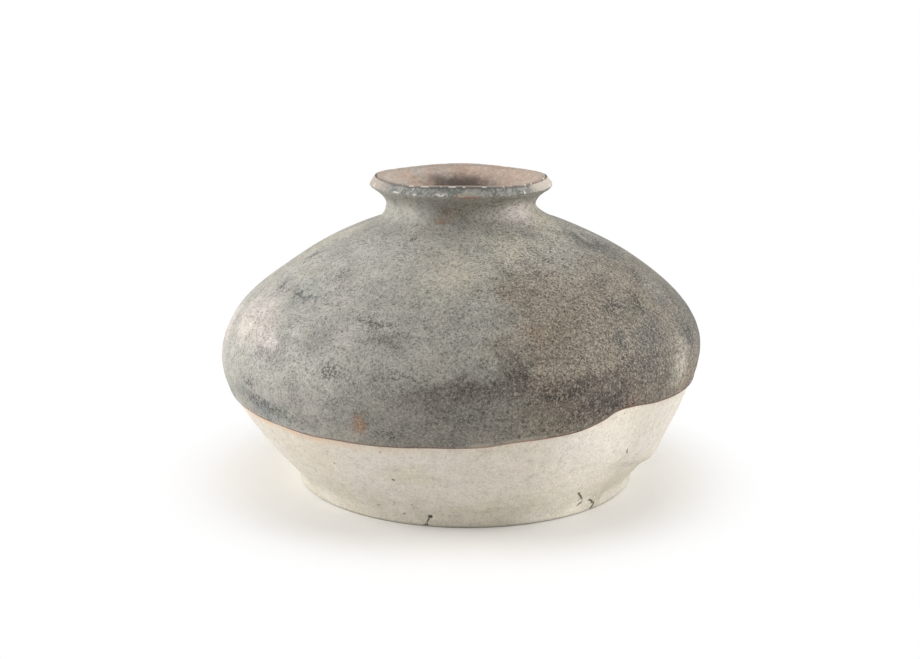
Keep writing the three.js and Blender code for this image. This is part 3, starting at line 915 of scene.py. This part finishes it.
def ash_glaze(look):
    """Matte glaze, grey and densely speckled, with pale, brown and sooty clouds, a painted sheen on the right
    of the neck and painted shade under the lip at the front.
    """
    m = Shader("ash_glaze")
    skin = m.ragged(BROAD_RAG, MIDDLE_RAG)
    across, level, _ = m.split(skin)
    across = m.facing(across)
    tint = m.mix(across.step(*DOVE_LEFT), look.ash, look.dove)
    right = across.step(*BROWN_RIGHT) * level.step(*UNDER_SHOULDER)
    tint = m.coat(tint, look.brown, right, strength=0.75)
    tint = m.coat(tint, look.soot, across.step(*SOOTY_RIGHT), strength=0.3)
    low = level.step(*LOW_BELLY) * across.step(*DARK_FRONT)
    tint = m.coat(tint, look.umber, low, strength=0.42)
    for name, places in GLAZE_CLOUDS.items():
        tint = m.mix(m.clouds(places, skin), tint, getattr(look, name))
    tint = m.coat(tint, look.cream, m.patches((0.5, 0.72), size=15, roughness=0.6), strength=0.15)
    tint = m.vector("MULTIPLY", {0: tint, 1: m.cast(11, CAST)})
    streak = m.noise(size=2.4, roughness=0.6, at=m.stretched(ROUND_GLAZE))
    cloudy = m.noise(size=13, detail=5, roughness=0.7, distortion=0.4)
    tint = m.shaded(tint, 1.0 + (streak - 0.5) * 0.35 + (cloudy - 0.5) * 1.0)
    tint, speck, mottle = speckled(m, look, tint, across)
    tint = bevel_glaze(m, look, tint, speck)
    above = m.attribute("above_edge")
    patchy = m.patches((0.3, 0.6), size=5)
    thin = across.step(*THIN_FROM) * across.step(*THIN_TO)
    tint = m.mix(thin * above.step(*THIN_DEPTH) * (0.25 + patchy * 0.4), tint, look.cream)
    edge = m.mix(thin, look.rust, look.ember)
    tint = m.mix(above.step(*RUST_DEPTH) * (0.45 + patchy * 0.4), tint, edge)
    return m.surface(tint, m.bump(speck * 0.6 + mottle * 0.4, height=0.16), roughness=0.68)


def speckled(m, look, tint, across):
    """The glaze's colour with its smudges, specks and grit, and the noises of the specks and the mottling."""
    smudge = m.patches((0.53, 0.75), size=8, roughness=0.6) * 0.5
    smudge = smudge.atleast(m.clouds(SMUDGES, m.ragged(*SMUDGE_RAG)))
    mottle = m.noise(size=3.0, detail=4, roughness=0.7, distortion=0.6)
    speck = m.noise(size=1.0, detail=2, roughness=0.65, distortion=0.5)
    grit = m.noise(size=0.5, detail=1, roughness=0.6)
    calm = m.z.step(*CALM_BELLY) * across.step(*CALM_FRONT) * 0.35
    contrast = (1.0 + across.step(*ROUGH_RIGHT)) * (1.0 - m.z.step(*CALM_NECK) * 0.45) * (1.0 - calm)
    tone = 1.0 + ((speck - 0.5) * 1.1 + (grit - 0.5) * 0.95) * contrast
    dark = (speck + grit * 0.3 - smudge * 0.14).step(0.6, 0.48)
    tone = tone * (0.64 + mottle * 0.72) * (1.0 - smudge * 0.2 - dark * (0.25 + smudge * 0.2))
    tint = m.shaded(tint, tone.atleast(0.25))
    tint = m.coat(tint, look.cream, (speck + grit * 0.6).step(0.86, 0.98), strength=0.35)
    return tint, speck, mottle


def bevel_glaze(m, look, tint, speck):
    """The darker, bluish lip bevel with its buff ends, its chips and its worn red-brown edge."""
    skin = m.ragged(*BEVEL_RAG)
    across, level, _ = m.split(skin)
    across = m.facing(across)
    wander = across + (m.noise(size=4) - 0.5) * 24.0
    front = wander.step(*BLUE_BEVEL_FROM) * wander.step(*BLUE_BEVEL_TO)
    pale = m.patches((0.46, 0.62), size=2.6, roughness=0.65) * 0.7
    dark = m.mix(pale.atleast(speck.step(0.5, 0.64) * 0.8), m.mix(0.6, look.blue, look.soot), look.dove)
    dark = m.shaded(dark, 0.3 + m.noise(size=1.1, roughness=0.75) * 1.4)
    buff = m.coat(look.buff, look.brown, across.step(*BROWN_BEVEL), strength=0.4)
    tint = m.coat(tint, m.mix(front, buff, dark), m.z.step(*BEVEL_BEGINS), strength=0.8)
    tint = m.coat(tint, look.cream, m.clouds(BEVEL_WORN, skin, softness=0.5), strength=0.5)
    tint = m.coat(tint, look.ember, m.clouds(BEVEL_RUSTY, skin, softness=0.5), strength=0.75)
    tint = m.mix(m.clouds(BEVEL_CHIPS, skin, softness=0.5), tint, look.chip)
    tint = m.coat(tint, look.soot, m.attribute("below_lip").step(*LIP_SHADOW) * front, strength=0.6)
    edge = level.step(*BEVEL_EDGE_UP) * level.step(*BEVEL_EDGE_DOWN)
    return m.coat(tint, look.cream, edge * m.patches((0.58, 0.66), size=2.2, detail=2), strength=0.6)


def mouth_wash(look):
    """Thin pinkish wash, worn paler on the left, and darkened by the throat at the back, partly by staining
    and partly by painted shade.
    """
    m = Shader("mouth_wash")
    worn = m.patches((0.35, 0.65), size=6, detail=4, roughness=0.6) * (1.0 - m.x.step(*MOUTH_RIGHT) * 0.6)
    tint = m.mix(worn, look.wash, look.wash_pale)
    drawn = m.noise(size=5, at=m.stretched(ROUND_MOUTH))
    tint = m.shaded(tint, m.noise(size=1.2, detail=4, roughness=0.8) * 1.4 + drawn * 0.6)
    off = m.vector("SUBTRACT", {0: m.place, 1: SHADE_AND_STAIN_MIDDLE})
    near = m.vector("LENGTH", {0: m.vector("DIVIDE", {0: off, 1: SHADE_AND_STAIN_REACH})}, "Value")
    ragged = near + (m.noise(size=4) - 0.5) * 1.2
    # Painted shade on the throat's back wall, where little light reaches, together with dark staining
    tint = m.coat(tint, look.stain_and_shade, ragged.step(*SHADE_AND_STAIN_EDGE), strength=0.85)
    return m.surface(tint, m.bump(m.noise(size=1.4), height=0.18), roughness=0.75)


def plain_clay(look, name):
    m = Shader(name)
    tint = m.mix(m.patches((0.35, 0.7), size=9, detail=4), look.cream, look.dirt)
    return m.surface(tint, m.bump(m.noise(size=1.2), height=0.2), roughness=0.95, shine=0.2)


# Operators
# Rows of the hollow under the base
HOLLOW_ROWS = 5
# Metres outwards from the middle of the wall in which its unevenness begins, and heights where it begins
SURFACE_FADE = 1 * MM
EVEN_FOOT = (0.5 * MM, 4 * MM)
# Distances from a pit's middle, in its own half widths, between which it rises to the surface
PIT_SHAPE = (0.3, 1.1)
# Metres below the top of the lip between which chips and unevenness begin
LIP_DEPTH = (1.6 * MM, 0.2 * MM)
# The chipping that leaves the clay whole, and the one that shows as a full chip
WHOLE_CHIP = 0.15
FULL_CHIP = 0.5
# Shares of the lost depth that come off the top of the lip and off its sides
CHIP_DOWN = 0.35
CHIP_ASIDE = 0.5
LIP_UNEVENNESS = 0.06 * MM
# The radii at which the glaze's face and back are spun, before they are laid on the clay
FACE_SIDE = 1.0
BACK_SIDE = 0.5
# Height of the clay where the distances along it begin, which is under the glaze's lowest edge
GLAZE_START = 34 * MM
# Distances up from the glaze's edge at which the first rows of its face lie, and the numbers of other rows
EDGE_ROWS = [d * MM for d in (0, 0.05, 0.12, 0.22, 0.36, 0.55, 0.8, 1.15, 1.6, 2.2, 3)]
WIDE_ROWS = 124
BEVEL_ROWS = 10
BACK_ROWS = 36
BEVEL_STEPS = 8
# Metres of bare lip where the chipping is 1, and the length in which the glaze rounds off at its edge
CHIP_BARE = 0.42 * MM
EDGE_ROUNDING = 0.6 * MM
# Millimetres: how far up from the edge the roll lies and reaches, and the reach of the mouth's uneven edge
ROLL = 1.1
WORN_REACH = 0.9
# The share of its thickness with which the mouth's glaze begins, and the rows in which it gains the whole
THIN_START = 0.1
FEATHER_ROWS = 9


class JAR_OT_lower_wall(bpy.types.Operator):
    """Builds the foot, floor and lower wall"""

    bl_idname = "jar.lower_wall"
    bl_label = "Lower Wall"

    def execute(self, context):
        scene = context.scene
        s, relief = scene.jar_shape, scene.jar_relief
        ring = s.foot_radius - s.standing_ring - s.foot_chamfer
        underside = [Vector((ring * t, s.base_hollow * (1 - t * t))) for t in np.linspace(0, 1, HOLLOW_ROWS)]
        outline = underside + foot_outer(s) + lower_inner(s, steps=30) + [Vector((0, s.floor))]
        mesh = turn_outline("lower_wall", outline, COLUMNS, closed=False)
        r, z, turn = turned_points(mesh)
        middle = self.wall_middle(s, z)
        outside = smoothstep(r, middle, middle + SURFACE_FADE)
        pit = self.pits(z, turn) * outside
        uneven = dents(relief, r, z, turn) * smoothstep(z, *EVEN_FOOT)
        r = r + outside * (uneven - pit * relief.pit)
        place_points(mesh, kiln_warp(scene, r, z, turn))
        add_attribute(mesh, "pit", np.clip(pit, 0, 1))
        add_attribute(mesh, "under_glaze", (glaze_line(s, turn) - z) / MM)
        finish_piece("lower_wall", mesh, bare_clay(scene.jar_clay), ["lower_body"])
        return {"FINISHED"}

    @staticmethod
    def wall_middle(s, z):
        """A radius about half way through the wall at each height."""
        heights, radii = zip(*((p.y, p.x) for p in lower_outer(s, steps=30)))
        return np.interp(z, heights, radii) - s.body_wall / 2

    @staticmethod
    def pits(z, turn):
        depth = np.zeros(len(z))
        degrees = from_front(turn)
        for centre, level, half, tall, deep in FOOT_PITS:
            aside = np.radians((degrees - centre + 180) % 360 - 180) * SKIN_RADIUS
            away = np.hypot(aside / half, (z / MM - level) / tall)
            depth = np.maximum(depth, deep * (1 - smoothstep(away, *PIT_SHAPE)))
        return depth


class JAR_OT_shoulder_wall(bpy.types.Operator):
    """Builds the clay shoulder under the glaze"""

    bl_idname = "jar.shoulder_wall"
    bl_label = "Shoulder Wall"

    def execute(self, context):
        scene = context.scene
        s = scene.jar_shape
        outside = shoulder_outer(s, steps=24)
        outline = [outside[0] + UP * s.seam] + outside[1:] + shoulder_inner(s, steps=40)
        mesh = turn_outline("shoulder_wall", outline, HIDDEN_COLUMNS, closed=True)
        place_points(mesh, kiln_warp(scene, *turned_points(mesh)))
        clay = plain_clay(scene.jar_clay, "inner_clay")
        finish_piece("shoulder_wall", mesh, clay, ["shoulder"])
        return {"FINISHED"}


class JAR_OT_neck_wall(bpy.types.Operator):
    """Builds the clay neck with its dished mouth and chipped lip"""

    bl_idname = "jar.neck_wall"
    bl_label = "Neck Wall"

    def execute(self, context):
        scene = context.scene
        s, relief = scene.jar_shape, scene.jar_relief
        outline = [neck_root(s) + INTO_NECK * s.seam] + neck_outer(s, steps=14)[1:] + bevel_outer(s, steps=10)
        outline += lip_top(s) + dish(s, steps=20) + neck_inner(s, steps=12)
        mesh = turn_outline("neck_wall", outline, COLUMNS, closed=True)
        r, z, turn = turned_points(mesh)
        wander = ring_noise(turn, *CHIP_RAG)
        chip = chipping(turn, wander)
        near_lip = smoothstep(z, *(s.height - depth for depth in LIP_DEPTH))
        lost = np.clip(chip - WHOLE_CHIP, 0, 1) * near_lip * relief.chip
        middle = s.lip_radius - s.lip_width / 2
        inward = (s.lip_radius - r) / MM
        z = z - lost * CHIP_DOWN + near_lip * LIP_UNEVENNESS * (wander - 1)
        r = r - lost * CHIP_ASIDE * np.clip((r - middle) / MM, -1, 1)
        place_points(mesh, kiln_warp(scene, r, z, turn))
        add_attribute(mesh, "chip", np.clip(chip / FULL_CHIP, 0, 1))
        add_attribute(mesh, "inward", inward)
        finish_piece("neck_wall", mesh, lip_clay(scene.jar_clay), ["neck_and_mouth"])
        return {"FINISHED"}


class JAR_OT_glaze_skin(bpy.types.Operator):
    """Builds the outer glaze from its wavy edge up to its chipped end under the lip"""

    bl_idname = "jar.glaze_skin"
    bl_label = "Glaze Skin"

    def execute(self, context):
        scene = context.scene
        s, relief = scene.jar_shape, scene.jar_relief
        clay = lower_outer(s, steps=90) + shoulder_outer(s, steps=90)[1:] + neck_outer(s, steps=14)[1:]
        clay += bevel_outer(s, steps=BEVEL_STEPS)
        line = np.array([p[:] for p in clay])
        lengths = np.concatenate([[0], np.cumsum(np.hypot(*np.diff(line, axis=0).T))])
        start = float(np.interp(GLAZE_START, line[:, 1], lengths))
        top = float(np.interp(s.belly_height, line[:, 1], lengths))
        end = float(lengths[-1])
        corner = end - (clay[-1] - clay[-1 - BEVEL_STEPS]).length
        outer = [Vector((FACE_SIDE, travel)) for travel in self.stations(start, corner, end)]
        inner = [Vector((BACK_SIDE, travel)) for travel in np.linspace(start, end, BACK_ROWS + 1)]
        mesh = turn_outline("glaze_skin", outer + inner[::-1], COLUMNS, closed=True)
        side, travel, turn = turned_points(mesh)
        edge = np.interp(glaze_line(s, turn), line[:, 1], lengths)
        slid = np.where(travel < top, edge + (travel - start) / (top - start) * (top - edge), travel)
        bare = s.bare_lip + chipping(turn, ring_noise(turn, *CHIP_RAG)) * CHIP_BARE
        on_bevel = np.clip((travel - corner) / (end - corner), 0, 1)
        slid = slid - on_bevel * bare
        depth = np.clip((slid - edge) / EDGE_ROUNDING, 0, 1)
        rounded = np.sqrt(1 - (1 - depth) ** 2)
        is_face = side > (FACE_SIDE + BACK_SIDE) / 2
        roll = s.glaze_roll * bell((slid - edge) / MM - ROLL, ROLL)
        radius, level = self.follow(slid, lengths, clay)
        worn = bell((level - mouth_edge(s).y) / MM, WORN_REACH) * ring_noise(turn, *EDGE_RAG) * relief.edge
        uneven = dents(relief, radius, level, turn) + roll + worn
        reach = np.where(is_face, rounded * (1 + uneven / (s.glaze - s.glaze_gap)), 0)
        face, back = (self.follow(slid, lengths, offset(clay, up)) for up in (s.glaze, s.glaze_gap))
        r, z = back + (face - back) * reach
        place_points(mesh, kiln_warp(scene, r, z, turn))
        add_attribute(mesh, "above_edge", (slid - edge) / MM)
        add_attribute(mesh, "below_lip", (end - bare - slid) / MM)
        finish_piece("glaze_skin", mesh, ash_glaze(scene.jar_glaze), ["glaze_coat"])
        return {"FINISHED"}

    @staticmethod
    def stations(start, corner, end):
        """Where the rows of the glaze's face lie along the clay: close at its edge and on the lip's bevel."""
        near = [start + up for up in EDGE_ROWS]
        wide = np.linspace(near[-1], corner, WIDE_ROWS + 1)[1:]
        return [*near, *wide, *np.linspace(corner, end, BEVEL_ROWS + 1)[1:]]

    @staticmethod
    def follow(places, lengths, path):
        """Radius and height of each place along a path, whose points lie at the given lengths."""
        return np.stack([np.interp(places, lengths, column) for column in zip(*path)])


class JAR_OT_mouth_lining(bpy.types.Operator):
    """Builds the thin glaze inside the dished mouth"""

    bl_idname = "jar.mouth_lining"
    bl_label = "Mouth Lining"

    def execute(self, context):
        scene = context.scene
        s = scene.jar_shape
        lining = dish(s, steps=28)[1:] + [throat_end(s)]
        grown = [min(1.0, THIN_START + i / FEATHER_ROWS) for i in range(len(lining))]
        face, back = (
            [clay.lerp(glaze, t) for clay, glaze, t in zip(lining, offset(lining, height), grown)]
            for height in (s.glaze_gap + s.mouth_glaze, s.glaze_gap)
        )
        mesh = turn_outline("mouth_lining", face + back[::-1], LINING_COLUMNS, closed=True)
        place_points(mesh, kiln_warp(scene, *turned_points(mesh)))
        finish_piece("mouth_lining", mesh, mouth_wash(scene.jar_glaze), ["mouth_glaze"])
        return {"FINISHED"}


class JAR_OT_seam_coils(bpy.types.Operator):
    """Gives the two coils inside the seams their clay"""

    bl_idname = "jar.seam_coils"
    bl_label = "Seam Coils"

    def execute(self, context):
        clay = plain_clay(context.scene.jar_clay, "seam_clay")
        for name in ("belly_seam_coil", "neck_seam_coil"):
            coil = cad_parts[name]
            coil.data.materials.clear()
            coil.data.materials.append(clay)
        return {"FINISHED"}


# Metres: where each lamp stands and its size, where they all point, half the floor's side, and the sensor's
# width in millimetres
LAMPS = {
    "left": ((-0.95, 0.0, 0.4), (0.7, 0.6)),
    "right": ((0.95, 0.0, 0.4), (0.7, 0.6)),
    "top": ((0.0, 0.1, 1.3), (1.0, 1.0)),
}
LIT_POINT = Vector((0.0, 0.0, 0.06))
FLOOR_REACH = 6.0
SENSOR_WIDTH = 36.0


class JAR_OT_stage(bpy.types.Operator):
    """Sets the floor, the lamps and the camera"""

    bl_idname = "jar.stage"
    bl_label = "Stage"

    def execute(self, context):
        look = context.scene.jar_stage
        self.floor(look)
        self.lamps(context, look)
        self.camera(context, look)
        context.scene.view_settings.view_transform = "Standard"
        return {"FINISHED"}

    def floor(self, look):
        bm = bmesh.new()
        bmesh.ops.create_grid(bm, x_segments=1, y_segments=1, size=FLOOR_REACH)
        mesh = bpy.data.meshes.new("studio_floor")
        bm.to_mesh(mesh)
        bm.free()
        m = Shader("floor_paper")
        paper = m.node("ShaderNodeBsdfDiffuse", {}, {"Color": (*look.floor, 1.0)})
        white = m.node("ShaderNodeEmission", {}, {"Color": WHITE, "Strength": 1.0})
        away = m.vector("LENGTH", {0: m.place}, "Value")
        faded = away.step(look.paper / MM, (look.paper + look.fade) / MM)
        both = m.node("ShaderNodeMixShader", {}, {0: faded, 1: paper, 2: white})
        m.finish(m.shown_white(paper, both))
        mesh.materials.append(m.material)
        floor = new_object("studio_floor", mesh)

    def lamps(self, context, look):
        for name, (place, size) in LAMPS.items():
            lamp = bpy.data.lights.new("lamp_" + name, "AREA")
            lamp.shape = "RECTANGLE"
            lamp.size, lamp.size_y = size
            lamp.energy = getattr(look, name)
            holder = new_object("lamp_" + name, lamp)
            holder.location = place
            holder.rotation_euler = (LIT_POINT - Vector(place)).to_track_quat("-Z", "Y").to_euler()
        context.scene.world = bpy.data.worlds.new("studio")
        sky = Nodes(context.scene.world)
        lit = sky.node("ShaderNodeBackground", {}, {"Color": WHITE, "Strength": look.sky})
        white = sky.node("ShaderNodeBackground", {}, {"Color": WHITE, "Strength": 1.0})
        sky.finish(sky.shown_white(lit, white), "ShaderNodeOutputWorld")

    def camera(self, context, look):
        eye = bpy.data.cameras.new("camera")
        eye.sensor_width = SENSOR_WIDTH
        eye.lens = look.lens
        holder = new_object("camera", eye)
        level = Matrix.Translation((look.aside, -look.distance, look.eye))
        tilt = Matrix.Rotation(math.pi / 2 - look.pitch, 4, "X")
        holder.matrix_world = level @ tilt @ Matrix.Rotation(look.roll, 4, "Z")
        context.scene.camera = holder


class JAR_PT_panel(bpy.types.Panel):
    """Lists the jar's pieces, sizes and colours"""

    bl_idname = "JAR_PT_panel"
    bl_label = "Stoneware Jar"
    bl_space_type = "VIEW_3D"
    bl_region_type = "UI"
    bl_category = "Jar"

    def draw(self, context):
        for operator in OPERATORS:
            self.layout.operator(operator.bl_idname)
        for settings in SETTINGS:
            box = self.layout.box()
            box.label(text=settings.__doc__)
            group = getattr(context.scene, SETTINGS[settings])
            for key in settings.__annotations__:
                box.prop(group, key)


SETTINGS = {
    JarShape: "jar_shape",
    KilnWarp: "jar_warp",
    Relief: "jar_relief",
    ClayLook: "jar_clay",
    GlazeLook: "jar_glaze",
    StageLook: "jar_stage",
}
OPERATORS = [
    JAR_OT_lower_wall,
    JAR_OT_shoulder_wall,
    JAR_OT_neck_wall,
    JAR_OT_glaze_skin,
    JAR_OT_mouth_lining,
    JAR_OT_seam_coils,
    JAR_OT_stage,
]


def register():
    for settings, name in SETTINGS.items():
        bpy.utils.register_class(settings)
        setattr(bpy.types.Scene, name, bpy.props.PointerProperty(type=settings))
    for operator in OPERATORS:
        bpy.utils.register_class(operator)
    bpy.utils.register_class(JAR_PT_panel)


def unregister():
    bpy.utils.unregister_class(JAR_PT_panel)
    for operator in reversed(OPERATORS):
        bpy.utils.unregister_class(operator)
    for settings, name in SETTINGS.items():
        delattr(bpy.types.Scene, name)
        bpy.utils.unregister_class(settings)


def main():
    register()
    for operator in OPERATORS:
        group, action = operator.bl_idname.split(".")
        getattr(getattr(bpy.ops, group), action)()


if __name__ == "__main__":
    main()
